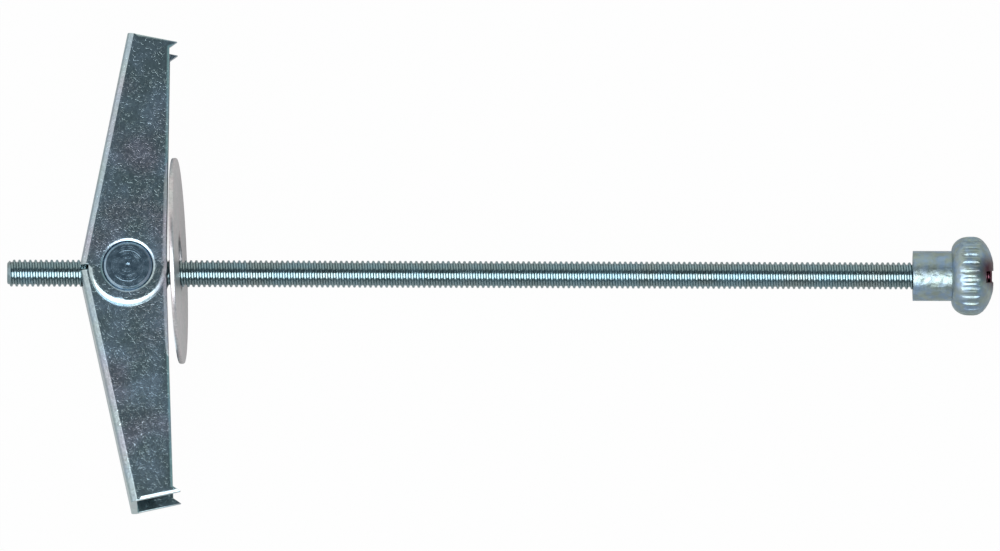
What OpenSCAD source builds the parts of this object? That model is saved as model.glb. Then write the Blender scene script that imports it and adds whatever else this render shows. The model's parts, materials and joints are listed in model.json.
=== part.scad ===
// Spring toggle bolt: two sprung channel wings on a barrel nut, a long threaded rod, a wide
// loose washer and a slotted sleeve nut. It lies on a flat surface as it comes to rest: on
// the rim of its washer, the rim of its nut and the tip of one wing.
//
// Every piece is modelled in the bolt's own frame: the origin is where the rod's axis
// crosses the pivot, +X runs along the rod towards the nut, the left wing points along +Y
// and the pivot lies along Z. laid() then puts the bolt down. Dimensions are millimetres.

/* [Rod] */
// Crest diameter of the threaded rod
rod_d = 4; // [3:0.1:5]
// Length of rod that stands out behind the pivot
rod_tail = 17.9; // [14:0.1:40]
// Distance from the pivot to the open face of the sleeve nut
nut_reach = 116.2; // [80:0.1:200]
// Chamfer at both ends of the rod
rod_chamfer = 0.5; // [0.2:0.1:0.8]

/* [Wings] */
// Length of a wing from the pivot to its end, measured along the web
wing_len = 34.6; // [26:0.5:50]
// Thickness of the pressed sheet
sheet_t = 0.95; // [0.7:0.05:1.2]
// Distance from the pivot to the outer face of the web
web_reach = 7; // [6.5:0.05:9]
// Distance from the pivot to the open edges of the channel
open_reach = 5.65; // [4.7:0.05:7]
// Angle between the web and the open edges
wing_taper = 10.45; // [6:0.05:13]
// Inside radius of the two bends
bend_r = 0.25; // [0.1:0.05:0.5]
// Height of the tooth at the end of each channel wall
tooth_h = 1.15; // [0.8:0.05:2]
// Length of the tooth's foot along the open edge
tooth_base = 1.05; // [0.8:0.05:2.5]
// Lean of the left wing towards the nut when it is open
left_lean = 0.6; // [0:0.1:3]
// Lean of the right wing towards the nut when it is open
right_lean = 2; // [0:0.1:4]

/* [Barrel nut] */
// Diameter of the pins that carry the ears
pin_d = 7.4; // [5:0.1:8.9]
// How far each pin stands proud of the outer ear
pin_proud = 0.2; // [0.1:0.05:0.6]
// Chamfer round the end of each pin
pin_chamfer = 0.45; // [0.2:0.05:0.6]
// Diameter of the lathe centre in each pin's face
centre_d = 0.7; // [0.4:0.1:1.2]

/* [Spring] */
// Diameter of the spring wire
wire_d = 0.8; // [0.5:0.05:1]
// Length of the straight legs that bear on the webs
leg_len = 9; // [6:0.5:14]

/* [Washer] */
// Outside diameter of the washer
washer_d = 30.5; // [26:0.1:36]
// Diameter of the washer's hole
washer_hole_d = 8.8; // [8:0.1:11]
// Thickness of the washer
washer_t = 0.75; // [0.6:0.05:1.5]
// How far round from level the rod lies in the washer's hole
washer_hang = 57.6; // [50:0.1:80]
// Turn of the upright washer out of square with the rod
washer_yaw = 0.9; // [0:0.1:2]

/* [Sleeve nut] */
// Diameter of the smooth collar
collar_d = 7.4; // [6.8:0.05:8]
// Length of the smooth collar
collar_len = 5.7; // [4:0.1:9]
// Diameter of the fluted rim
rim_d = 11.7; // [10:0.05:13]
// Length of the rounded flare between the collar and the rim
flare_len = 2.6; // [1.5:0.1:3]
// Length of the widest part of the rim
rim_len = 0.7; // [0.4:0.1:3]
// Rise of the domed head above the rim
dome_h = 3.1; // [2:0.05:3.5]
// Number of flutes round the rim
flute_n = 30; // [18:1:36]
// Depth of each flute
flute_depth = 0.25; // [0.15:0.05:0.4]
// Width of the driver slot
slot_w = 1.7; // [1:0.1:2]
// Depth of the driver slot below the top of the dome
slot_depth = 1.35; // [1:0.05:1.8]
// Angle of the driver slot about the rod, from level
slot_turn = 103; // [0:1:180]
// How far the rod's end, which stands in the driver slot, lies below the top of the dome
rod_sunk = 0.4; // [0.3:0.05:1]

/* [Clearances] */
// Gap between the rod and the holes that it screws into
screw_gap = 0.05; // [0.02:0.01:0.09]
// Gap between the ears and the pins
pivot_gap = 0.05; // [0.02:0.01:0.09]
// Gap between an outer ear and the inner ear beside it
ear_gap = 0.1; // [0.05:0.05:0.2]
// Gap between an inner ear and the shoulder of the barrel
shoulder_gap = 0.1; // [0.05:0.05:0.3]
// Gap between the round ends of the ears and the other wing's web
ear_clear = 0.25; // [0.1:0.05:0.5]
// Gap between the spring's coils and the barrel, and between the coils and the rod
coil_gap = 0.3; // [0.2:0.05:0.5]
// Gap between the spring and the pressed sheet beside it
spring_gap = 0.05; // [0.03:0.01:0.2]
// Gap between the washer and the open edges of the wings
washer_stand = 0.65; // [0.5:0.05:5]
// Gap between the rod and the washer where the rod lies in its hole
washer_gap = 0.15; // [0.1:0.05:0.5]

/* [Hidden] */
$fn = 96;
over = 1;                      // how far a cutting solid runs past what it cuts
flute_r = 0.6;                 // radius of the round cutter of a flute
centre_depth = 0.3;            // depth of the lathe centre
leg_bend_r = 1.4;              // bend between a leg and the bridge of the spring
curve_steps = 10;              // straight steps in a quarter of the nut's rounded outline

rod_r = rod_d / 2;
screw_r = rod_r + screw_gap;
pin_r = pin_d / 2;
washer_r = washer_d / 2;

// The wings are one stamping, used twice: the second is the first turned half round the
// rod. The ears' round ends clear the web, and the tooth's outer edge carries on along the
// wing's end edge.
ear_r = web_reach - sheet_t - ear_clear;
web_normal = [-cos(wing_taper), sin(wing_taper)];
web_along = [sin(wing_taper), cos(wing_taper)];
tip_corner = web_reach * web_normal + wing_len * web_along;
tooth_x = open_reach + tooth_h;
tooth_y = (wing_len - tooth_x * web_along[0]) / web_along[1];
web_end = 0.15;                // gap from the rod's axis to the web's end, beside the notch
notch_gap = 0.05;              // gap under the web where it stops on the rod
notch_r = rod_r + 0.3;

// The spring's legs lie along the inside of the webs, and its coils sit on the barrel,
// one on each side of the rod. The ears stand just outside the coils.
wire_r = wire_d / 2;
coil_r = web_reach - sheet_t - spring_gap - wire_r;
barrel_r = coil_r - wire_r - coil_gap;
left_leg_angle = 90 - wing_taper - left_lean;
right_leg_angle = 90 - wing_taper - right_lean;
coil_from = left_leg_angle + 90;
coil_to = 360 + 270 - right_leg_angle;
coil_start = rod_r + coil_gap + wire_r;
coil_end = coil_start + wire_d * (coil_to - coil_from) / 360;
coil_steps = 44;
wire_sides = 10;

// Each wing has one outer ear and one inner ear, so its middle lies off the rod's axis.
inner_face = coil_end + wire_r + spring_gap;
ear_step = sheet_t + ear_gap;
wing_w = 2 * (inner_face + sheet_t + ear_step);
channel_w = wing_w - ear_step;
wing_shift = ear_step / 2;

// The threaded hole runs right through the nut, and the rod's end closes it at the slot.
rim_start = collar_len + flare_len;
rim_stop = rim_start + rim_len;
nut_len = rim_stop + dome_h;
rod_end = nut_reach + nut_len - rod_sunk;

// How the bolt lies. The washer stands upright on its rim and carries the rod in its hole,
// the nut's rim touches the surface, and the roll brings the right wing's lower tooth to it.
rim_r = rim_d / 2;
lean_room = washer_r * sin(max(left_lean, right_lean));
tilt_room = washer_r * (washer_r - rim_r) / nut_reach;
washer_place = open_reach + max(lean_room, tilt_room) + washer_stand;
washer_off = washer_hole_d / 2 - rod_r - washer_gap;
rod_height = washer_r - washer_off * sin(washer_hang);
rim_ahead = nut_reach + rim_stop - washer_place;
pitch = atan2(rim_ahead, rim_r) - acos(rod_height / norm([rim_ahead, rim_r]));
pivot_height = rod_height + washer_place * sin(pitch);
tip_x = tooth_x * cos(right_lean) + tooth_y * sin(right_lean);
tip_y = tooth_y * cos(right_lean) - tooth_x * sin(right_lean);
tip_z = wing_w / 2;
tip_drop = (pivot_height - tip_x * sin(pitch)) / cos(pitch);
roll = asin(tip_drop / norm([tip_y, tip_z])) - atan2(tip_z, tip_y);
bolt_len = rod_tail + nut_reach + nut_len;
lay_x = -(bolt_len / 2 - rod_tail) * cos(pitch);

module laid() {
    translate([lay_x, 0, pivot_height]) rotate([roll, pitch, 0]) children();
}

// Section of the folded sheet: a flat back with two square walls and round bends.
module folded_section(width, depth, radius) {
    translate([radius, -width / 2]) square([depth - radius, width]);
    translate([0, radius - width / 2]) square([radius, width - 2 * radius]);
    for (side = [-1, 1]) translate([radius, side * (width / 2 - radius)]) circle(radius);
}

module channel_section() {
    depth = 2 * web_reach + over;
    difference() {
        folded_section(channel_w, depth, bend_r + sheet_t);
        translate([sheet_t, 0]) folded_section(channel_w - 2 * sheet_t, depth, bend_r);
    }
}

// Block with a wing's side view: a round ear, tapering to the square end with its tooth.
module wing_outline() {
    cylinder(r = ear_r, h = 2 * wing_w, center = true);
    translate([0, 0, -wing_w]) linear_extrude(2 * wing_w) polygon([
        [(web_end * web_normal[1] - web_reach) / cos(wing_taper), web_end],
        tip_corner,
        [tooth_x, tooth_y],
        [open_reach, tooth_y - tooth_base + tooth_h * tan(wing_taper)],
        [open_reach, web_end]
    ]);
}

// One wing with its outer ear at +Z, standing square to the rod.
module wing() {
    difference() {
        intersection() {
            // the channel runs along the web, from behind the pivot to past the end
            rotate(-wing_taper)
                translate([-web_reach, wing_len + over, wing_shift])
                    rotate([90, 0, 0])
                        linear_extrude(wing_len + 2 * web_reach) channel_section();
            wing_outline();
        }
        cylinder(r = pin_r + pivot_gap, h = 2 * wing_w, center = true);
        // notch that straddles the rod; its bottom is the wing's stop
        translate([-2 * web_reach, rod_r + notch_gap - notch_r, 0])
            rotate([0, 90, 0]) cylinder(r = notch_r, h = 2 * web_reach);
    }
}

module left_wing() {
    color([0.42, 0.47, 0.49]) laid() rotate(-left_lean) wing();
}

module right_wing() {
    color([0.42, 0.47, 0.49]) laid() rotate([180, 0, 0]) rotate(-right_lean) wing();
}

// Turned barrel with a shouldered, chamfered pin at each end and a threaded cross hole.
module barrel_nut() {
    barrel_half = inner_face - shoulder_gap;
    pin_half = wing_w / 2 + pin_proud;
    color([0.38, 0.44, 0.47]) laid() difference() {
        rotate_extrude() polygon([
            [0, -pin_half],
            [pin_r - pin_chamfer, -pin_half],
            [pin_r, pin_chamfer - pin_half],
            [pin_r, -barrel_half],
            [barrel_r, -barrel_half],
            [barrel_r, barrel_half],
            [pin_r, barrel_half],
            [pin_r, pin_half - pin_chamfer],
            [pin_r - pin_chamfer, pin_half],
            [0, pin_half]
        ]);
        rotate([0, 90, 0]) cylinder(r = screw_r, h = 3 * barrel_r, center = true);
        for (side = [-1, 1])
            translate([0, 0, side * pin_half])
                cylinder(d = centre_d, h = 2 * centre_depth, center = true);
    }
}

// Direction in the XY plane at an angle from +X.
function heading(angle) = [cos(angle), sin(angle), 0];

// Half of the spring's centre line, from the middle of the bridge to the end of one leg.
// Each entry is a point and the outward normal of the wire there.
function spring_half() =
    let (out_l = heading(coil_from), leg_l = heading(left_leg_angle))
    let (out_r = heading(coil_to), leg_r = heading(-right_leg_angle))
    concat(
        [for (turn = [0:15:90])
            [coil_r * out_l + (leg_len - leg_bend_r * (1 - cos(90 - turn))) * leg_l
                + [0, 0, coil_start - leg_bend_r * (1 - sin(turn))], out_l]],
        [for (step = [0:coil_steps])
            let (angle = coil_from + (coil_to - coil_from) * step / coil_steps)
            [coil_r * heading(angle)
                + [0, 0, coil_start + (coil_end - coil_start) * step / coil_steps], heading(angle)]],
        [[coil_r * out_r + leg_len * leg_r + [0, 0, coil_end], out_r]]
    );

// Wire of round section swept along a list of points with normals.
module wire(path) {
    last = len(path) - 1;
    tangents = [for (i = [0:last])
        let (d = path[min(i + 1, last)][0] - path[max(i - 1, 0)][0]) d / norm(d)];
    points = [for (i = [0:last]) for (k = [0:wire_sides - 1])
        let (a = 360 * k / wire_sides, n = path[i][1], b = cross(tangents[i], n))
        path[i][0] + wire_r * (cos(a) * n + sin(a) * b / norm(b))];
    sides = [for (i = [0:last - 1]) for (k = [0:wire_sides - 1]) each
        let (a = i * wire_sides + k, b = i * wire_sides + (k + 1) % wire_sides)
        [[a, b, b + wire_sides], [a, b + wire_sides, a + wire_sides]]];
    caps = [[for (k = [wire_sides - 1:-1:0]) k], [for (k = [0:wire_sides - 1]) last * wire_sides + k]];
    polyhedron(points, concat(sides, caps));
}

// Double torsion spring: two coils joined by a bridge under the left web.
module torsion_spring() {
    half = spring_half();
    mirrored = [for (i = [len(half) - 1:-1:0])
        [[half[i][0][0], half[i][0][1], -half[i][0][2]], half[i][1]]];
    color([0.2, 0.22, 0.24]) laid() wire(concat(mirrored, half));
}

module threaded_rod() {
    slim = rod_r - rod_chamfer;
    color([0.45, 0.5, 0.48]) laid() rotate([0, 90, 0]) rotate_extrude() polygon([
        [0, -rod_tail],
        [slim, -rod_tail],
        [rod_r, rod_chamfer - rod_tail],
        [rod_r, rod_end - rod_chamfer],
        [slim, rod_end],
        [0, rod_end]
    ]);
}

module washer() {
    color([0.68, 0.68, 0.67])
        translate([
            lay_x + washer_place * cos(pitch),
            washer_off * cos(washer_hang),
            washer_r
        ])
            rotate([0, 0, washer_yaw]) rotate([0, 90, 0]) difference() {
                cylinder(d = washer_d, h = washer_t, center = true);
                cylinder(d = washer_hole_d, h = 2 * washer_t, center = true);
            }
}

// Quarter of an ellipse, as distances from the rod's axis and along it: the radius goes from
// `inner` to `outer` while the place goes from `from` to `to`, and it is widest at `widest`.
function quarter(inner, outer, from, to, widest) = [
    for (step = [0:curve_steps])
        let (turn = 90 * step / curve_steps, opening = widest == to)
        [
            inner + (outer - inner) * (opening ? sin(turn) : cos(turn)),
            opening ? to - (to - from) * cos(turn) : from + (to - from) * sin(turn)
        ]
];

// Die-cast nut: collar, rounded flare, fluted rim and a dome with a driver slot.
module sleeve_nut() {
    collar_r = collar_d / 2;
    color([0.5, 0.55, 0.53]) laid() translate([nut_reach, 0, 0]) difference() {
        rotate([0, 90, 0]) rotate_extrude() polygon(concat(
            [[0, 0], [collar_r, 0]],
            quarter(collar_r, rim_r, collar_len, rim_start, rim_start),
            quarter(0, rim_r, rim_stop, nut_len, rim_stop)
        ));
        translate([-over, 0, 0]) rotate([0, 90, 0]) cylinder(r = screw_r, h = nut_len + 2 * over);
        rotate([slot_turn, 0, 0])
            translate([nut_len - slot_depth, -rim_d, -slot_w / 2])
                cube([slot_depth + over, 2 * rim_d, slot_w]);
        for (i = [0:flute_n - 1])
            rotate([(i + 0.5) * 360 / flute_n - roll, 0, 0])
                translate([collar_len, 0, -(rim_r + flute_r - flute_depth)])
                    rotate([0, 90, 0]) cylinder(r = flute_r, h = nut_len, $fn = 24);
    }
}

left_wing();
right_wing();
barrel_nut();
torsion_spring();
threaded_rod();
washer();
sleeve_nut();
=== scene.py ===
# %% [markdown]
# # A spring toggle bolt
# Two sprung steel wings fold round a barrel nut on a long threaded rod. A wide washer hangs loose
# on the rod, and a fluted sleeve nut with a driver slot closes the far end. The bolt lies on a pale
# table as it comes to rest. The lesson loads the engineering model as a fixed frame, gives each
# piece its fine shape and its finish, and then lights it.

# %% Load the frame
import json
import math

import bmesh
import bpy
from mathutils import Matrix, Vector


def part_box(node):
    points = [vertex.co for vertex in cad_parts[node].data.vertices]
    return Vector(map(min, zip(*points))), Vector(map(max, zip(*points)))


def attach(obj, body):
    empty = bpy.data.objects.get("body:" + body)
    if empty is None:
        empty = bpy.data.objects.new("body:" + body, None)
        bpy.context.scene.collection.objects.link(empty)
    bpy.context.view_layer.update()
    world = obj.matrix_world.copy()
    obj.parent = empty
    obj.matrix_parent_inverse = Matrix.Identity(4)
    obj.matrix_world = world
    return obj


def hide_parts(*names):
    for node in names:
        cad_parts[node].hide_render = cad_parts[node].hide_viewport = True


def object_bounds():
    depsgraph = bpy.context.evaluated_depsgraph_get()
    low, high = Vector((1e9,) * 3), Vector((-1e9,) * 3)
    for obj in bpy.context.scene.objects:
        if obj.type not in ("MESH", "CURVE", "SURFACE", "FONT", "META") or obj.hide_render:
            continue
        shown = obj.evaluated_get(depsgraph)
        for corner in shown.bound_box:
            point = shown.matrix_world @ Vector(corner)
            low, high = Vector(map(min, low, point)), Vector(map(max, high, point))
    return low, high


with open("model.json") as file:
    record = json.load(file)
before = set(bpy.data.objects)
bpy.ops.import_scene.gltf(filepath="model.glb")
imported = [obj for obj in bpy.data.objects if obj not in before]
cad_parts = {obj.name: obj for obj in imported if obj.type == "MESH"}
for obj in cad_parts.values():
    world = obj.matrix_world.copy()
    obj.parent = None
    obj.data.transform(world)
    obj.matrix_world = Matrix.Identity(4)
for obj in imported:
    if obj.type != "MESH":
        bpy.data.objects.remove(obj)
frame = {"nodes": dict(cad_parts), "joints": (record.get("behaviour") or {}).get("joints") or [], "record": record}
cad_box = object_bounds()
nodes = frame["nodes"]
joints = {joint["name"]: joint for joint in frame["joints"]}
mounts = {mount["name"]: mount for mount in frame["record"]["mounts"]}
print("pieces in the frame:", ", ".join(sorted(nodes)))

# %% [markdown]
# The bolt lies tilted, so its own frame is easier to model in: the origin is where the rod crosses
# the pivot, X runs along the rod to the nut, and Z is the pivot. The joints already hold these
# directions. One matrix takes millimetres in that frame to metres in the scene, and its inverse
# measures a piece of the frame.

# %% The bolt's own frame
MM = 0.001
along_rod = Vector(joints["washer_slide"]["axis"])
along_pivot = Vector(joints["right_wing_fold"]["axis"])
across = along_pivot.cross(along_rod)
pivot = Vector(joints["left_wing_fold"]["pos_m"])
bolt = Matrix.Translation(pivot) @ Matrix((along_rod, across, along_pivot)).transposed().to_4x4()
bolt = bolt @ Matrix.Scale(MM, 4)


def measured(node, placed=bolt):
    """Vertices of a node of the frame, in millimetres, in the frame that `placed` makes."""
    back = placed.inverted()
    return [back @ vertex.co for vertex in nodes[node].data.vertices]


rod_points = measured("threaded_rod")
rod_r = max(math.hypot(p.y, p.z) for p in rod_points)
rod_from = min(p.x for p in rod_points)
rod_to = max(p.x for p in rod_points)
rod_slim = min(math.hypot(p.y, p.z) for p in rod_points if p.x < rod_from + 0.01)
print(f"rod: radius {rod_r:.2f} mm, from {rod_from:.1f} to {rod_to:.1f} mm")

# %% [markdown]
# Every new piece ends the same way: its faces are turned outwards, its mesh is moved to its place
# while its object stays at the origin, soft curves are shaded smooth and real corners stay sharp,
# and it rides on the body that carries it.

# %% Finish a piece
CORNER = math.radians(32)


def finished(bm, name, body, material, replaced=None, placed=bolt, turn_normals=True,
             flats=False):
    """The bmesh as a named piece on a body. With `flats`, its large faces are shaded flat."""
    if turn_normals:
        bmesh.ops.recalc_face_normals(bm, faces=bm.faces)
    bm.transform(placed)
    mesh = bpy.data.meshes.new(name)
    bm.to_mesh(mesh)
    bm.free()
    mesh.shade_smooth()
    mesh.set_sharp_from_angle(angle=CORNER)
    mesh.materials.append(material)
    piece = bpy.data.objects.new(name, mesh)
    bpy.context.scene.collection.objects.link(piece)
    if flats:
        piece.modifiers.new("flat_faces", "WEIGHTED_NORMAL").keep_sharp = True
    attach(piece, body)
    if replaced:
        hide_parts(replaced)
    print(f"{name}: {len(mesh.polygons)} faces on {body}")
    return piece


# %% [markdown]
# A material is a small tree of nodes. One helper adds a node, sets its options, and fills or links
# its sockets, and another turns a colour written as sRGB hex into the linear values that the
# renderer works in.

# %% Material helpers
def linear(hex_code, alpha=1.0):
    """Linear colour for an sRGB hex code such as 8A9BA3."""
    channels = [int(hex_code[i:i + 2], 16) / 255 for i in (0, 2, 4)]
    return [c / 12.92 if c <= 0.04045 else ((c + 0.055) / 1.055) ** 2.4 for c in channels] + [alpha]


def add_node(tree, kind, inputs=None, **options):
    """A new shader node with its options set and its sockets filled or linked."""
    node = tree.nodes.new("ShaderNode" + kind)
    for option, value in options.items():
        setattr(node, option, value)
    for socket, value in (inputs or {}).items():
        if isinstance(value, bpy.types.NodeSocket):
            tree.links.new(value, node.inputs[socket])
        else:
            node.inputs[socket].default_value = value
    return node


def new_material(name):
    """An empty material, its tree and its surface socket."""
    print("material:", name)
    material = bpy.data.materials.new(name)
    material.use_nodes = True
    material.node_tree.nodes.clear()
    output = add_node(material.node_tree, "OutputMaterial")
    return material, material.node_tree, output.inputs["Surface"]


def per_mm(size):
    """Texture scale, in cycles per metre, for a pattern whose features are `size` mm across."""
    return 1 / (size * MM)


# %% [markdown]
# The wings are pressed from zinc-plated sheet steel. The plating is a skin of small crystals, some
# paler and some darker, and each tilted its own way, so a flat face looks dark with fine specks
# where a crystal catches the lamp. Cells of Voronoi noise are the crystals: one random number
# shades them, and another, raised to a power, makes a few of them steep through a bump. Slow clouds
# change the gloss and calm the crystals in places, and a clear passivation film drifts the colour
# towards blue and rose.

# %% Film and crystals of a plated skin
def filmed_colour(tree, clouds, drift, shade, cool, warm, film):
    """A shade that a clear film tints cool where clouds are thick, and warm where drift is."""
    cool_mask = add_node(tree, "MapRange", {
        "Value": clouds, "From Min": 0.4, "From Max": 0.65, "To Max": film})
    warm_mask = add_node(tree, "MapRange", {
        "Value": drift, "From Min": 0.52, "From Max": 0.7, "To Max": film})
    tinted = add_node(tree, "Mix", {
        0: cool_mask.outputs["Result"], 6: linear(shade), 7: linear(cool)}, data_type="RGBA")
    return add_node(tree, "Mix", {
        0: warm_mask.outputs["Result"], 6: tinted.outputs[2], 7: linear(warm)},
        data_type="RGBA").outputs[2]


def crystal_cells(tree, place, drift, crystal, spangle, grain):
    """Crystals `crystal` mm across. Returns their tone, about 1, and their height, in bumps."""
    cells = add_node(tree, "TexVoronoi", {"Vector": place, "Scale": per_mm(crystal)})
    lot = add_node(tree, "SeparateColor", {"Color": cells.outputs["Color"]})
    tone = add_node(tree, "MapRange", {
        "Value": lot.outputs["Green"], "To Min": 1 - spangle, "To Max": 1 + spangle})
    steep = add_node(tree, "Math", {0: lot.outputs["Red"], 1: 6.0}, operation="POWER")
    cones = add_node(tree, "Math", {
        0: cells.outputs["Distance"], 1: steep.outputs[0]}, operation="MULTIPLY")
    rugged = add_node(tree, "MapRange", {
        "Value": drift, "From Min": 0.4, "From Max": 0.62, "To Min": 0.25})
    patchy = add_node(tree, "Math", {
        0: cones.outputs[0], 1: rugged.outputs["Result"]}, operation="MULTIPLY")
    grit = add_node(tree, "TexNoise", {
        "Vector": place, "Scale": per_mm(crystal * 1.3), "Detail": 2.0})
    height = add_node(tree, "Math", {
        0: grit.outputs["Fac"], 1: grain, 2: patchy.outputs[0]}, operation="MULTIPLY_ADD")
    return tone.outputs["Result"], height.outputs[0]


# %% Zinc-plated pressed sheet
def zinc_plate(name, shade, cool, warm, roughness, crystal=0.3, tilt=0.055, cloud=2.0, film=0.6,
               spangle=0.1, grain=0.2):
    """Zinc-plated steel. Crystals, clouds and the height `tilt` of a full bump are in mm."""
    material, tree, surface = new_material(name)
    place = add_node(tree, "TexCoord").outputs["Object"]
    clouds = add_node(tree, "TexNoise", {
        "Vector": place, "Scale": per_mm(cloud), "Detail": 3.0}).outputs["Fac"]
    drift = add_node(tree, "TexNoise", {
        "Vector": place, "Scale": per_mm(cloud * 2.2), "Detail": 1.0}).outputs["Fac"]
    filmed = filmed_colour(tree, clouds, drift, shade, cool, warm, film)
    tone, height = crystal_cells(tree, place, drift, crystal, spangle, grain)
    colour = add_node(tree, "Mix", {
        0: 1.0, 6: filmed, 7: tone}, data_type="RGBA", blend_type="MULTIPLY")
    rough = add_node(tree, "MapRange", {
        "Value": clouds, "From Min": 0.3, "From Max": 0.7,
        "To Min": roughness - 0.04, "To Max": roughness + 0.06})
    relief = add_node(tree, "Bump", {"Height": height, "Distance": tilt * MM, "Strength": 1.0})
    skin = add_node(tree, "BsdfPrincipled", {
        "Base Color": colour.outputs[2], "Metallic": 1.0,
        "Roughness": rough.outputs["Result"], "Normal": relief.outputs["Normal"]})
    tree.links.new(skin.outputs["BSDF"], surface)
    return material


sheet_skin = zinc_plate("zinc_plated_pressed_sheet", "B2C2C5", "A2B6CE", "BEB2C0",
                        roughness=0.17, tilt=0.036, cloud=4.0, film=0.55, spangle=0.12, grain=0.09)

# %% [markdown]
# A wing is a stamping whose edges were sheared and tumbled, so no corner is perfectly sharp, and
# that thin rounding is what catches the light. The frame already has the folded channel, the ears,
# the notch and the teeth. A merged copy of its mesh gets flat faces back by dissolving the
# triangles, and a narrow two-step bevel rounds each corner. A Weighted Normal modifier keeps the
# large faces flat beside such narrow ones.

# %% Copies of pressed and cast pieces
SAME_POINT = 0.0005
FLAT = math.radians(0.5)


def merged_copy(node):
    """A bmesh copy of a node, in bolt millimetres, with its flat faces made whole."""
    bm = bmesh.new()
    bm.from_mesh(nodes[node].data)
    bm.transform(bolt.inverted())
    bmesh.ops.remove_doubles(bm, verts=bm.verts, dist=SAME_POINT)
    bmesh.ops.dissolve_limit(bm, angle_limit=FLAT, verts=bm.verts, edges=bm.edges)
    return bm


def ease(bm, size):
    """Rounds every sharp edge of a bmesh by `size` mm."""
    corners = [e for e in bm.edges if len(e.link_faces) == 2 and e.calc_face_angle() > CORNER]
    bmesh.ops.bevel(
        bm, geom=corners, offset=size, offset_type="OFFSET", affect="EDGES", segments=2,
        profile=0.5, material=-1, clamp_overlap=True, loop_slide=True)
    return bm


# %% [markdown]
# The blanking die also pulls the rim of the two outer faces down a little. An inset makes a border
# there, and the border's outer edge is lowered, all but the part along the fold, which curves away
# already. Corners of the outline that stand too close merge first, or the border would fold over
# itself. At the free end the border is split beside the fold, and is lowered past the split.

# %% The borders of a wing's outer faces
BORDER = 0.6
LEVEL_FIT = 0.01
CLOSE_CORNERS = 0.22
END_FIT = 0.2
END_LENGTH = 3


def wing_shape(bm):
    """A wing's hand, the radii of its hole and ears, its web's normal and its way outwards."""
    hand = math.copysign(1, sum(v.co.y for v in bm.verts))
    hole_r = min(v.co.xy.length for v in bm.verts)
    ear_r = max(v.co.xy.length for v in bm.verts if v.co.y * hand < -1)
    web = max((f for f in bm.faces if abs(f.normal.z) < 0.1), key=lambda f: f.calc_area())
    outwards = web.normal.cross(Vector((0, 0, 1)))
    outwards = outwards if outwards.y * hand > 0 else -outwards
    return hand, hole_r, ear_r, web.normal.copy(), outwards


def split_near_fold(edge, border_faces, web_normal):
    """Splits an end's edge and its border face beside the fold. Returns the new vertex."""
    corner = max(edge.verts, key=lambda v: v.co.dot(web_normal))
    face = next(f for f in edge.link_faces if f in border_faces)
    inner = next(e.other_vert(corner) for e in corner.link_edges
                 if e in face.edges[:] and e != edge)
    vertex = bmesh.utils.edge_split(edge, corner, BORDER / 2 / edge.calc_length())[1]
    bmesh.utils.face_split(face, vertex, inner)
    return vertex


def add_border(bm, level, web_normal, at_end):
    """Insets the outer face at a level. Returns the border's vertices and the rim's places."""
    wall = [f for f in bm.faces if all(abs(v.co.z - level) < LEVEL_FIT for v in f.verts)]
    rim = {v.co.to_tuple(4) for f in wall for v in f.verts}
    border_faces = bmesh.ops.inset_region(
        bm, faces=wall, thickness=BORDER, use_boundary=True, use_even_offset=True)["faces"]
    ends = [e for e in bm.edges if e.calc_length() > END_LENGTH
            and all(v.co.to_tuple(4) in rim and at_end(v) for v in e.verts)]
    rim |= {split_near_fold(e, border_faces, web_normal).co.to_tuple(4) for e in ends}
    bm.normal_update()
    return {v for f in border_faces for v in f.verts}, rim


# %% Rolled rims
SIDE_DROP = 0.2
END_DROP = 0.17
EAR_BORDER = 0.8
EAR_DROP = 0.14
HOLE_BORDER = 0.5
HOLE_DROP = 0.1
ARC_FIT = 0.06
RIM_FIT = 0.1
FOLD_FACING = (0.3, 0.998)


def on_fold(vertex):
    """Whether a vertex touches a face that curves away from a wing's outer face."""
    least, most = FOLD_FACING
    return any(least < abs(face.normal.z) < most for face in vertex.link_faces)


def roll_rims(bm):
    """Lowers the free rims of a wing's two outer faces."""
    hand, hole_r, ear_r, web_normal, outwards = wing_shape(bm)
    reach = max(v.co.dot(outwards) for v in bm.verts)
    levels = (min(v.co.z for v in bm.verts), max(v.co.z for v in bm.verts))

    def at_end(vertex):
        return vertex.co.dot(outwards) > reach - END_FIT

    outer = [v for v in bm.verts if min(abs(v.co.z - level) for level in levels) < LEVEL_FIT]
    bmesh.ops.remove_doubles(bm, verts=outer, dist=CLOSE_CORNERS)
    for level, way in zip(levels, (-1, 1)):
        vertices, rim = add_border(bm, level, web_normal, at_end)
        for vertex in (v for v in vertices if not on_fold(v)):
            radius = vertex.co.xy.length
            behind = -vertex.co.y * hand
            if vertex.co.to_tuple(4) not in rim:
                if abs(radius - hole_r - BORDER) < ARC_FIT:
                    vertex.co.xy *= (hole_r + HOLE_BORDER) / radius
                elif abs(ear_r - BORDER - radius) < ARC_FIT and behind > 0.5:
                    vertex.co.xy *= (ear_r - EAR_BORDER) / radius
            elif any(e.calc_face_angle(0) > CORNER for e in vertex.link_edges):
                if radius < hole_r + RIM_FIT:
                    drop = HOLE_DROP
                elif abs(radius - ear_r) < RIM_FIT and behind > 0:
                    drop = EAR_DROP
                else:
                    drop = END_DROP if at_end(vertex) else SIDE_DROP
                vertex.co.z -= way * drop
    print(f"rolled the rims of a wing: ears of {ear_r:.2f} mm, hole of {hole_r:.2f} mm")


# %% The two pressed wings
EDGE_EASE = 0.12
for side in ("left_wing", "right_wing"):
    stamping = merged_copy(side)
    roll_rims(stamping)
    finished(ease(stamping, EDGE_EASE), side + "_pressed", side, sheet_skin,
             side, turn_normals=False, flats=True)

# %% [markdown]
# The barrel nut was turned from bar. Its two pins carry the ears and end in faces with fine rings
# from the lathe tool. The rings follow the distance from the pivot, so the material turns Object
# coordinates into the bolt's frame with a Mapping node and reads that distance.

# %% Turned steel
bolt_turn = bolt.to_3x3().normalized().transposed().to_euler()


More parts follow.
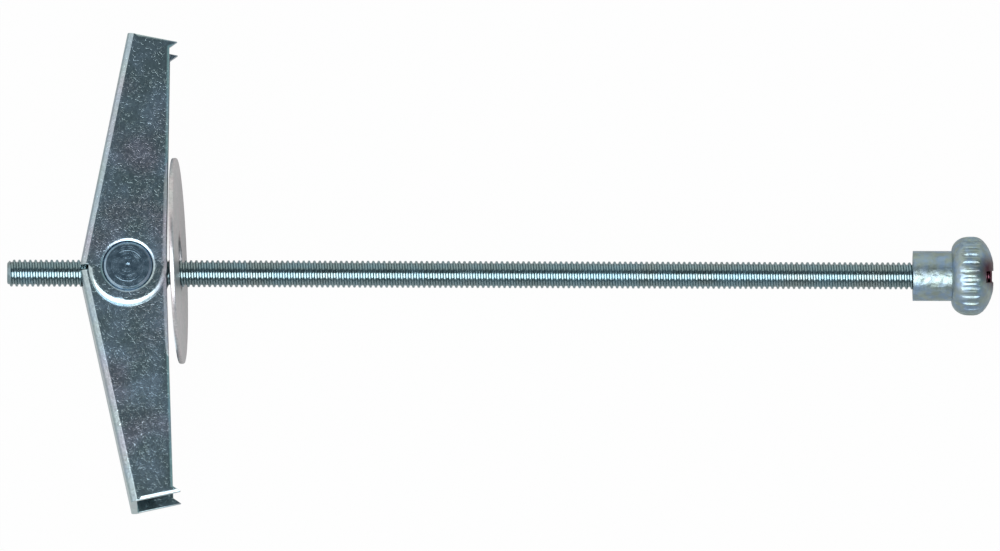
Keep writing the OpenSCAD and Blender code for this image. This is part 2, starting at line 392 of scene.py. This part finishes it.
def in_bolt_frame(tree, origin=pivot):
    """Object coordinates moved to the bolt's frame, in metres."""
    place = add_node(tree, "TexCoord").outputs["Object"]
    centred = add_node(tree, "VectorMath", {0: place, 1: origin}, operation="SUBTRACT")
    turned = add_node(tree, "Mapping", {"Vector": centred.outputs[0], "Rotation": bolt_turn})
    return turned.outputs["Vector"]


RING = 0.3
RING_HEIGHT = 0.035


def turned_steel(name, shade, light, roughness):
    """Turned steel: fine rings round the pivot, and a mottled skin."""
    material, tree, surface = new_material(name)
    vector = in_bolt_frame(tree)
    parts = add_node(tree, "SeparateXYZ", {"Vector": vector})
    flat = add_node(tree, "CombineXYZ", {"X": parts.outputs["X"], "Y": parts.outputs["Y"]})
    radius = add_node(tree, "VectorMath", {0: flat.outputs[0]}, operation="LENGTH")
    rings = add_node(tree, "TexNoise", {
        "W": radius.outputs["Value"], "Scale": per_mm(RING), "Detail": 1.0}, noise_dimensions="1D")
    mottle = add_node(tree, "TexNoise", {"Vector": vector, "Scale": per_mm(0.9), "Detail": 4.0})
    tone = add_node(tree, "MapRange", {
        "Value": mottle.outputs["Fac"], "From Min": 0.38, "From Max": 0.68})
    colour = add_node(tree, "Mix", {
        0: tone.outputs["Result"], 6: linear(shade), 7: linear(light)}, data_type="RGBA")
    rough = add_node(tree, "MapRange", {
        "Value": mottle.outputs["Fac"], "From Min": 0.3, "From Max": 0.7,
        "To Min": roughness - 0.05, "To Max": roughness + 0.1})
    relief = add_node(tree, "Bump", {
        "Height": rings.outputs["Fac"], "Distance": RING_HEIGHT * MM, "Strength": 1.0})
    skin = add_node(tree, "BsdfPrincipled", {
        "Base Color": colour.outputs[2], "Metallic": 1.0,
        "Roughness": rough.outputs["Result"], "Normal": relief.outputs["Normal"]})
    tree.links.new(skin.outputs["BSDF"], surface)
    return material


BARREL_EASE = 0.11
barrel_skin = turned_steel("turned_zinc_plated_steel", "8EA5B6", "9EB4C4", roughness=0.16)
finished(ease(merged_copy("barrel_nut"), BARREL_EASE), "barrel_nut_turned", "toggle", barrel_skin,
         "barrel_nut", turn_normals=False, flats=True)

# %% [markdown]
# The spring is one dark, oiled wire. Wire is drawn through a ring, and the same idea models it: a
# ring of the wire's section is pushed straight for a leg and spun with a rise for a coil. The coils
# stay on the barrel, while each leg turns with its wing. So that no gap opens as the wings fold,
# each leg carries a stretch of coil that hides inside the fixed one at rest.

# %% Dark spring wire
def spring_wire(name, shade, sheen_shade, roughness):
    """Oil-darkened spring wire with fine streaks."""
    material, tree, surface = new_material(name)
    place = add_node(tree, "TexCoord").outputs["Object"]
    scale_skin = add_node(tree, "TexNoise", {"Vector": place, "Scale": per_mm(0.35), "Detail": 3.0})
    tone = add_node(tree, "MapRange", {
        "Value": scale_skin.outputs["Fac"], "From Min": 0.4, "From Max": 0.7})
    colour = add_node(tree, "Mix", {
        0: tone.outputs["Result"], 6: linear(shade), 7: linear(sheen_shade)}, data_type="RGBA")
    relief = add_node(tree, "Bump", {
        "Height": scale_skin.outputs["Fac"], "Distance": 0.005 * MM, "Strength": 1.0})
    skin = add_node(tree, "BsdfPrincipled", {
        "Base Color": colour.outputs[2], "Metallic": 1.0, "Roughness": roughness,
        "Normal": relief.outputs["Normal"]})
    tree.links.new(skin.outputs["BSDF"], surface)
    return material


wire_skin = spring_wire("oil_darkened_spring_wire", "23282C", "4C555B", roughness=0.34)

# %% The spring's measures
WIRE_R = 0.4
SECTION_SIDES = 16
WING_LEAN = 10.45
LEG_LEAN = {"left": WING_LEAN + 0.6, "right": WING_LEAN + 2.0}
LEG_LEN = 9.0
BRIDGE_BEND = 1.4
COIL_FROM_ROD = 0.3
FOLD = joints["left_wing_fold"]["range_deg"][1]
spring_points = measured("torsion_spring")
coil_r = -min(p.x for p in spring_points if abs(p.y) < 1) - WIRE_R
left_leg = 90 - LEG_LEAN["left"]
right_leg = 90 - LEG_LEAN["right"]
coil_from = left_leg + 90
coil_to = 630 - right_leg
coil_low = rod_r + COIL_FROM_ROD + WIRE_R
coil_rise = 2 * WIRE_R * (coil_to - coil_from) / 360
print(f"spring: coil radius {coil_r:.2f} mm, one coil turns {coil_to - coil_from:.0f} degrees")


# %% Pushing and winding wire
def heading(angle):
    """Direction in the plane square to the pivot, at an angle in degrees from the rod."""
    return Vector((math.cos(math.radians(angle)), math.sin(math.radians(angle)), 0))


def wire_ring(bm, centre, direction, radius=WIRE_R):
    """The wire's round section at a point, facing along the wire. Returns its edges."""
    facing = direction.to_track_quat("Z", "Y").to_matrix().to_4x4()
    made = bmesh.ops.create_circle(
        bm, segments=SECTION_SIDES, radius=radius, matrix=Matrix.Translation(centre) @ facing)
    return list(dict.fromkeys(edge for vertex in made["verts"] for edge in vertex.link_edges))


def push(bm, ring, offset):
    """Pushes the ring straight and returns its new place."""
    pushed = bmesh.ops.extrude_edge_only(bm, edges=ring)["geom"]
    points = [g for g in pushed if isinstance(g, bmesh.types.BMVert)]
    bmesh.ops.translate(bm, vec=offset, verts=points)
    return [g for g in pushed if isinstance(g, bmesh.types.BMEdge) and len(g.link_faces) == 1]


def wind(bm, ring, angle, rise=0.0, centre=(0, 0, 0), axis=(0, 0, 1), step=6):
    """Spins the ring by an angle in degrees while it rises, and returns its new place."""
    steps = max(2, round(abs(angle) / step))
    points = list(dict.fromkeys(v for e in ring for v in e.verts))
    spun = bmesh.ops.spin(
        bm, geom=ring + points, cent=centre, axis=axis,
        dvec=Vector(axis).normalized() * rise / steps, angle=math.radians(angle), steps=steps,
        use_duplicate=False)
    return [g for g in spun["geom_last"] if isinstance(g, bmesh.types.BMEdge)]


def close_wire(bm):
    """Closes the open ends of the wire."""
    bmesh.ops.holes_fill(bm, edges=[e for e in bm.edges if len(e.link_faces) == 1], sides=0)


# %% The two coils stay on the barrel
coils = bmesh.new()
for hand in (1, -1):
    start = coil_r * heading(coil_from) + Vector((0, 0, hand * coil_low))
    ring = wire_ring(coils, start, heading(coil_from + 90))
    wind(coils, ring, coil_to - coil_from, hand * coil_rise)
close_wire(coils)
finished(coils, "spring_coils", "toggle", wire_skin, "torsion_spring")

# %% The bridge and its two legs turn with the left wing
HIDDEN = 0.98
bridge = bmesh.new()
overlap_rise = coil_rise * FOLD / (coil_to - coil_from)
start = coil_r * heading(coil_from + FOLD) + Vector((0, 0, coil_low + overlap_rise))
ring = wire_ring(bridge, start, heading(coil_from + FOLD + 90), WIRE_R * HIDDEN)
ring = wind(bridge, ring, -FOLD, -overlap_rise)
ring = push(bridge, ring, (LEG_LEN - BRIDGE_BEND) * heading(left_leg))
out = heading(coil_from)
bend = coil_r * out + (LEG_LEN - BRIDGE_BEND) * heading(left_leg)
across_bridge = coil_low - BRIDGE_BEND
ring = wind(bridge, ring, 90, centre=bend + Vector((0, 0, across_bridge)), axis=out, step=15)
ring = push(bridge, ring, Vector((0, 0, -2 * across_bridge)))
ring = wind(bridge, ring, 90, centre=bend - Vector((0, 0, across_bridge)), axis=out, step=15)
ring = push(bridge, ring, (BRIDGE_BEND - LEG_LEN) * heading(left_leg))
wind(bridge, ring, FOLD, -overlap_rise)
close_wire(bridge)
finished(bridge, "spring_bridge", "left_wing", wire_skin)

# %% The two free legs turn with the right wing
legs = bmesh.new()
for hand in (1, -1):
    leg_z = hand * (coil_low + coil_rise - overlap_rise)
    start = coil_r * heading(coil_to - FOLD) + Vector((0, 0, leg_z))
    ring = wire_ring(legs, start, heading(coil_to - FOLD + 90), WIRE_R * HIDDEN)
    ring = wind(legs, ring, FOLD, hand * overlap_rise)
    push(legs, ring, LEG_LEN * heading(-right_leg))
close_wire(legs)
finished(legs, "spring_legs", "right_wing", wire_skin)

# %% [markdown]
# The rod's thread was rolled, 32 turns to the inch. One pitch of its profile, spun with a rise of
# one pitch a turn, makes the whole helix, because the last edge of each turn meets the first edge
# of the next. The band is made a little too long, cut square at both ends, closed, and chamfered
# there as a rod is after cutting. The end that stands in the nut's slot gets painted shade of the
# slot's hollow, tinted dark red.

# %% Rolled thread
PITCH = 25.4 / 32
THREAD_DEPTH = 0.42 * PITCH
TURN_STEPS = 28
ROD_CHAMFER = rod_r - rod_slim


def thread_profile(bm, start):
    """One pitch of the rolled thread, root to root, rounded at both. Returns its geometry."""
    shape = [(0, 0), (0.14, 0.04), (0.22, 0.25), (0.31, 0.85), (0.38, 1), (0.62, 1), (0.69, 0.85),
             (0.78, 0.25), (0.86, 0.04), (1, 0)]
    root_r = rod_r - THREAD_DEPTH
    points = [bm.verts.new((start + x * PITCH, 0, root_r + h * THREAD_DEPTH)) for x, h in shape]
    return points + [bm.edges.new(pair) for pair in zip(points, points[1:])]


def threaded_bar(start, end):
    """A bmesh of the threaded rod along X, with chamfered ends."""
    bm = bmesh.new()
    bmesh.ops.spin(
        bm, geom=thread_profile(bm, start - 2 * PITCH), cent=(0, 0, 0), axis=(1, 0, 0),
        dvec=(PITCH / TURN_STEPS, 0, 0), angle=2 * math.pi, steps=TURN_STEPS, use_duplicate=False)
    turns = 1
    while turns < (end - start) / PITCH + 3:
        everything = list(bm.verts) + list(bm.edges) + list(bm.faces)
        copy = bmesh.ops.duplicate(bm, geom=everything)["geom"]
        points = [g for g in copy if isinstance(g, bmesh.types.BMVert)]
        bmesh.ops.translate(bm, vec=(turns * PITCH, 0, 0), verts=points)
        turns *= 2
    bmesh.ops.remove_doubles(bm, verts=bm.verts, dist=0.002)
    for cut, side in ((start, -1), (end, 1)):
        everything = list(bm.verts) + list(bm.edges) + list(bm.faces)
        bmesh.ops.bisect_plane(
            bm, geom=everything, dist=SAME_POINT, plane_co=(cut, 0, 0), plane_no=(side, 0, 0),
            clear_outer=True)
    bmesh.ops.holes_fill(bm, edges=[e for e in bm.edges if len(e.link_faces) == 1], sides=0)
    for vertex in bm.verts:
        room = ROD_CHAMFER - min(vertex.co.x - start, end - vertex.co.x)
        radius = math.hypot(vertex.co.y, vertex.co.z)
        if room > 0 and radius > rod_r - room:
            vertex.co.yz = vertex.co.yz * ((rod_r - room) / radius)
    return bm


# %% Painted slot shade and the rod
SLOT_SHADE_EDGE = 1.3
SLOT_SHADE_CORE = 0.7


def painted_slot_shade(material, squeeze, shade):
    """Painted shade, tinted dark red, round the nut's end. A small squeeze spreads it far."""
    tree = material.node_tree
    skin = next(n for n in tree.nodes if n.type == "BSDF_PRINCIPLED")
    metal = skin.inputs["Base Color"].links[0].from_socket
    away = add_node(tree, "VectorMath", {
        0: in_bolt_frame(tree, nut_end), 1: squeeze}, operation="MULTIPLY")
    reach = add_node(tree, "VectorMath", {0: away.outputs[0]}, operation="LENGTH")
    slot_shaded = add_node(tree, "MapRange", {
        "Value": reach.outputs["Value"], "From Min": SLOT_SHADE_EDGE * MM, "From Max": SLOT_SHADE_CORE * MM})
    mixed = add_node(tree, "Mix", {
        0: slot_shaded.outputs["Result"], 6: metal, 7: linear(shade)}, data_type="RGBA")
    tree.links.new(mixed.outputs[2], skin.inputs["Base Color"])


nut_end = bolt @ Vector((rod_to, 0, 0))
rod_skin = zinc_plate("zinc_plated_rolled_thread", "8E9FA2", "8CA8B4", "989F9E", roughness=0.19,
                      tilt=0.01, cloud=3.0)
# The rod's end in the nut's slot gets painted shade of the slot's hollow, tinted dark red.
painted_slot_shade(rod_skin, (0.5, 0.2, 0.2), "5E3A44")
finished(threaded_bar(rod_from, rod_to), "threaded_rod_rolled", "rod", rod_skin,
         "threaded_rod")

# %% [markdown]
# The washer was punched from sheet and tumbled, so its edges are round. Its section is a small
# rectangle with rounded corners, spun once round the washer's own axis. It stands upright, so the
# height of its box is its diameter.

# %% Punched washer
face = mounts["washer_face"]
washer_axis = Vector(face["axis"]).normalized()
low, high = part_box("washer")
washer_turn = washer_axis.to_track_quat("Z", "Y").to_matrix().to_4x4()
washer_place = Matrix.Translation((low + high) / 2) @ washer_turn @ Matrix.Scale(MM, 4)
washer_points = measured("washer", washer_place)
washer_r = (high.z - low.z) / 2 / MM
washer_hole = min(math.hypot(p.x, p.y) for p in washer_points)
washer_half = max(p.z for p in washer_points)
print(f"washer: radius {washer_r:.2f}, hole {washer_hole:.2f}, thickness {2 * washer_half:.2f} mm")

PUNCH_ROUND = 0.2
WASHER_STEPS = 160


def punched_ring():
    """A bmesh of the washer about Z, its corners rounded."""
    bm = bmesh.new()
    middle = Matrix.Translation(((washer_r + washer_hole) / 2, 0, 0))
    section = Matrix.Diagonal((washer_r - washer_hole, 1, 2 * washer_half, 1))
    made = bmesh.ops.create_grid(
        bm, x_segments=1, y_segments=1, size=0.5,
        matrix=middle @ section @ Matrix.Rotation(math.pi / 2, 4, "X"))
    bmesh.ops.bevel(
        bm, geom=made["verts"], offset=PUNCH_ROUND, offset_type="OFFSET", affect="VERTICES",
        segments=3, profile=0.5, material=-1)
    border = [e for e in bm.edges if len(e.link_faces) == 1]
    bmesh.ops.delete(bm, geom=list(bm.faces), context="FACES_ONLY")
    bmesh.ops.spin(
        bm, geom=border + list(bm.verts), cent=(0, 0, 0), axis=(0, 0, 1), angle=2 * math.pi,
        steps=WASHER_STEPS, use_merge=True, use_duplicate=False)
    bmesh.ops.remove_doubles(bm, verts=bm.verts, dist=0.001)
    return bm


washer_skin = zinc_plate("zinc_plated_punched_sheet", "D8CED0", "CED0D0", "DCD0D2",
                         roughness=0.34, tilt=0.006, cloud=2.6)
finished(punched_ring(), "washer_punched", "washer", washer_skin, "washer",
         placed=washer_place)

# %% [markdown]
# The sleeve nut is a zinc casting with a bright plated skin: a smooth collar, a flare and a fluted
# rim, with a dome over it that a driver slot crosses. The frame holds its full form, so an eased
# copy is enough here too. Round the slot, the dome gets painted shade, tinted dark red.

# %% Plated casting
CAST_EASE = 0.09
nut_skin = zinc_plate("plated_zinc_casting", "9EAAA5", "8CA8D0", "9CA6A8", roughness=0.37,
                      crystal=0.9, tilt=0.12, cloud=1.3, grain=1.0)
# Painted shade of the slot's hollow, tinted dark red, on the dome round the slot.
painted_slot_shade(nut_skin, (0.3, 0.42, 0.14), "4E2C38")
finished(ease(merged_copy("sleeve_nut"), CAST_EASE), "sleeve_nut_cast", "nut", nut_skin,
         "sleeve_nut", turn_normals=False, flats=True)

# %% [markdown]
# The table is a plain pale floor. The camera sees it nearly white, shiny surfaces see it a little
# whiter than it is, and the bolt's own soft shadow still shows a little.

# %% Floor
def pale_table(name, shade, to_camera, to_metal):
    """Matt pale surface whose share of plain white differs for the camera and for reflections."""
    material, tree, surface = new_material(name)
    matt = add_node(tree, "BsdfDiffuse", {"Color": linear(shade)})
    glow = add_node(tree, "Emission", {"Color": linear("FFFFFF"), "Strength": 1.0})
    path = add_node(tree, "LightPath")
    seen = add_node(tree, "Math", {
        0: path.outputs["Is Camera Ray"], 1: to_camera}, operation="MULTIPLY")
    shown = add_node(tree, "Math", {
        0: path.outputs["Is Glossy Ray"], 1: to_metal}, operation="MULTIPLY")
    share = add_node(tree, "Math", {0: seen.outputs[0], 1: shown.outputs[0]}, operation="MAXIMUM")
    mixed = add_node(tree, "MixShader", {
        0: share.outputs[0], 1: matt.outputs["BSDF"], 2: glow.outputs["Emission"]})
    tree.links.new(mixed.outputs["Shader"], surface)
    return material


FLOOR_HALF = 3.0
floor_bm = bmesh.new()
bmesh.ops.create_grid(floor_bm, x_segments=1, y_segments=1, size=FLOOR_HALF)
floor_mesh = bpy.data.meshes.new("table")
floor_bm.to_mesh(floor_mesh)
floor_bm.free()
floor_mesh.materials.append(pale_table("matt_pale_table", "C2C4C2", to_camera=0.98, to_metal=0.22))
floor = bpy.data.objects.new("table", floor_mesh)
floor.location.z = cad_box[0].z
bpy.context.scene.collection.objects.link(floor)
print(f"table: {2 * FLOOR_HALF:.0f} m square, at height {floor.location.z / MM:.2f} mm")

# %% [markdown]
# Metal shows what is round it. A soft box stands behind the camera and a little below it, and four
# walls stand round the bolt: a white one past the rod's free end, a teal-grey one past the nut, a
# pale one on the far side and a grey one on the near side. The ceiling is dim. So flat plates look
# slate, and round bars get a bright core with a dark band above it. Dot products of a ray's
# direction tell the walls from the rest, and the white wall's longer vector makes it reach
# further round. Other rays see an even, plain fill.

# %% World
world = bpy.data.worlds.new("studio")
bpy.context.scene.world = world
world.use_nodes = True
sky = world.node_tree
sky.nodes.clear()
direction = add_node(sky, "TexCoord").outputs["Generated"]


def with_wall(room, facing, shade):
    """Adds a wall of a shade to the room's colour, on the side that a vector points to."""
    share = add_node(sky, "VectorMath", {0: direction, 1: facing}, operation="DOT_PRODUCT")
    mask = add_node(sky, "MapRange", {
        "Value": share.outputs["Value"], "From Min": 0.28, "From Max": 0.55},
        interpolation_type="SMOOTHSTEP")
    return add_node(sky, "Mix", {
        0: mask.outputs["Result"], 6: room, 7: linear(shade)}, data_type="RGBA").outputs[2]


FILL = 0.4
WALLS = {"76848A": (0, -1, 0), "9CB8BA": (1, 0, 0), "FFFFFF": (-1.6, 0, 0), "EAF0EC": (0, 1, 0)}
walls = linear("59656C")
for wall_shade, facing in WALLS.items():
    walls = with_wall(walls, facing, wall_shade)
ray = add_node(sky, "LightPath")
fill = add_node(sky, "Background", {"Color": linear("FFFFFF"), "Strength": FILL})
reflected = add_node(sky, "Background", {"Color": walls, "Strength": 1.0})
backdrop = add_node(sky, "Background", {"Color": linear("FFFFFF"), "Strength": 1.0})
shiny = add_node(sky, "MixShader", {
    0: ray.outputs["Is Glossy Ray"], 1: fill.outputs["Background"],
    2: reflected.outputs["Background"]})
seen = add_node(sky, "MixShader", {
    0: ray.outputs["Is Camera Ray"], 1: shiny.outputs["Shader"], 2: backdrop.outputs["Background"]})
add_node(sky, "OutputWorld", {"Surface": seen.outputs["Shader"]})
print("world:", len(WALLS), "walls round the bolt")

# %% [markdown]
# The bolt is long and slim, so the camera stands far back behind a long lens, with next to no
# perspective. It looks down from high up and a little from the nut's side, and is rolled slightly.

# %% Camera
VIEW_TILT = math.radians(24.23)
VIEW_SIDE = math.radians(3.0)
VIEW_ROLL = math.radians(-1.32)
VIEW_DISTANCE = 3.035
LENS = 737.7
SENSOR = 36.0
AIM = Vector((-0.00016, 0.0, 0.010))
towards_camera = Vector((
    math.sin(VIEW_SIDE), -math.sin(VIEW_TILT) * math.cos(VIEW_SIDE),
    math.cos(VIEW_TILT) * math.cos(VIEW_SIDE))).normalized()
camera = bpy.data.objects.new("camera", bpy.data.cameras.new("camera"))
bpy.context.scene.collection.objects.link(camera)
camera.data.lens = LENS
camera.data.sensor_width = SENSOR
camera.data.clip_start = 0.01
camera.location = AIM + towards_camera * VIEW_DISTANCE
right = Vector((0, math.cos(VIEW_TILT), math.sin(VIEW_TILT))).cross(towards_camera).normalized()
upright = Matrix((right, towards_camera.cross(right), towards_camera)).transposed()
camera.rotation_euler = (upright @ Matrix.Rotation(VIEW_ROLL, 3, "Z")).to_euler()
bpy.context.scene.camera = camera
print(f"camera: {VIEW_DISTANCE:.2f} m away, with a lens of {LENS:.0f} mm")


# %% Lights
def soft_box(name, towards, distance, width, depth, brightness, shade="FFFFFF"):
    """A rectangular lamp that faces the bolt. Its brightness is what a mirror would show."""
    lamp = bpy.data.lights.new(name, "AREA")
    lamp.shape = "RECTANGLE"
    lamp.size, lamp.size_y = width, depth
    lamp.energy = brightness * math.pi * width * depth
    lamp.color = linear(shade)[:3]
    holder = bpy.data.objects.new(name, lamp)
    holder.location = AIM + towards.normalized() * distance
    holder.rotation_euler = towards.to_track_quat("Z", "Y").to_euler()
    holder.visible_camera = False
    bpy.context.scene.collection.objects.link(holder)
    print(f"{name}: {width} by {depth} m, {lamp.energy:.1f} W")


KEY_TURN = Matrix.Rotation(math.radians(13), 3, "X") @ Matrix.Rotation(math.radians(-10), 3, "Y")
soft_box("key_box", KEY_TURN @ towards_camera, distance=1.3, width=1.2, depth=1.1, brightness=4.0,
         shade="F0F8FB")
bpy.context.scene.view_settings.view_transform = "Standard"
